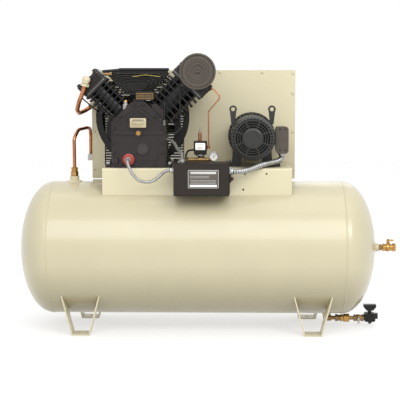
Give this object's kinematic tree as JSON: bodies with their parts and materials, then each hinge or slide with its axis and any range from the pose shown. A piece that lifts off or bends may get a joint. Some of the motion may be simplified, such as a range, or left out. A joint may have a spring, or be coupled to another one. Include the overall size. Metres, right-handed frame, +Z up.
{
  "type": "two-stage air compressor",
  "caption": "V-twin two-stage piston air compressor with belt guard, electric motor and starter box on a platform over a horizontal air receiver with strap legs.",
  "frame": {"origin": "centre of the four foot bolt holes at floor level", "axes": "+X along the tank towards the air outlet, +Y to the back (belt guard side), +Z up"},
  "size_m": [1.7329, 0.6136, 1.2625],
  "materials": {
    "cream_paint": "semi-gloss cream enamel",
    "dark_paint": "semi-gloss dark grey enamel",
    "black_paint": "satin black enamel",
    "iron": "machined and oiled",
    "steel": "machined",
    "zinc": "zinc plated",
    "alloy": "cast",
    "copper": "drawn copper tube, lightly tarnished",
    "brass": "machined",
    "rubber": "moulded",
    "glass": "clear over dark oil",
    "black_plastic": "moulded",
    "grey_plastic": "moulded",
    "red_plastic": "moulded",
    "brown_paint": "textured dark brown enamel",
    "motor_paint": "semi-gloss charcoal enamel",
    "paper": "pleated filter paper"
  },
  "bodies": {
    "receiver": {"tank_shell": "cream_paint", "tank_heads": "cream_paint", "tank_couplings": "cream_paint", "tank_legs": "cream_paint", "base_platform": "cream_paint", "hex_bolts": "zinc", "crankcase": "dark_paint", "crankcase_cover": "dark_paint", "crankcase_plugs": "dark_paint", "oil_sight_glass": "glass", "oil_level_switch": "red_plastic", "crankcase_breather": "alloy", "shaft_bearings": "steel", "connecting_rods": "alloy", "pistons": "alloy", "wrist_pins": "steel", "cylinders": "black_paint", "valve_plates": "steel", "cylinder_heads": "dark_paint", "air_filter_housing": "dark_paint", "air_filter_element": "paper", "air_filter_cover": "dark_paint", "intercooler": "black_paint", "discharge_elbow": "cream_paint", "discharge_tube": "copper", "aftercooler": "copper", "tank_inlet_tube": "copper", "check_valve": "brass", "drive_belts": "rubber", "motor_frame": "motor_paint", "motor_end_bells": "motor_paint", "motor_fan_cover": "motor_paint", "motor_stator": "iron", "motor_conduit_box": "motor_paint", "guard_panel": "cream_paint", "guard_ring": "black_paint", "guard_rear_cover": "cream_paint", "starter_enclosure": "brown_paint", "starter_cover": "brown_paint", "starter_contactor": "black_plastic", "pressure_switch": "grey_plastic", "manifold": "brass", "gauge_case": "steel", "relief_valve": "brass", "unloader_lines": "copper", "wiring_conduits": "zinc", "pipe_nipples": "brass", "outlet_valve_body": "brass", "drain_fittings": "brass", "drain_solenoid": "black_plastic"},
    "crank": {"crankshaft": "iron", "flywheel": "black_paint"},
    "motor_armature": {"motor_rotor": "steel", "motor_fan": "black_plastic", "motor_pulley": "iron"},
    "outlet_handle": {"outlet_lever": "brass"},
    "drain_handle": {"drain_lever": "steel"},
    "needle": {"gauge_needle": "black_paint"},
    "reset": {"reset_button": "red_plastic"},
    "relief_pull": {"relief_ring": "steel"}
  },
  "joints": [
    {"name": "crank_spin", "type": "hinge", "parent": "receiver", "child": "crank", "pos_m": [-0.263, 0, 0.906], "axis": [0, 1, 0], "continuous": true},
    {"name": "motor_spin", "type": "hinge", "parent": "receiver", "child": "motor_armature", "pos_m": [0.25, 0, 0.8833], "axis": [0, 1, 0], "continuous": true},
    {"name": "outlet_turn", "type": "hinge", "parent": "receiver", "child": "outlet_handle", "pos_m": [0.8825, 0, 0.371], "axis": [0, 0, 1], "range_deg": [0, 90]},
    {"name": "drain_turn", "type": "hinge", "parent": "receiver", "child": "drain_handle", "pos_m": [0.748, 0, 0.039], "axis": [0, 1, 0], "range_deg": [0, 90]},
    {"name": "needle_sweep", "type": "hinge", "parent": "receiver", "child": "needle", "pos_m": [0.075, -0.126, 0.801], "axis": [0, 1, 0], "range_deg": [-175, 95]},
    {"name": "reset_press", "type": "slide", "parent": "receiver", "child": "reset", "axis": [-1, 0, 0], "range_m": [0, 0.004], "stiffness_N_per_m": 300},
    {"name": "relief_lift", "type": "slide", "parent": "receiver", "child": "relief_pull", "axis": [0, 0, 1], "range_m": [0, 0.004], "stiffness_N_per_m": 400}
  ],
  "couplings": [
    {"joint": "motor_spin", "follows": "crank_spin", "ratio": 2.6615}
  ]
}
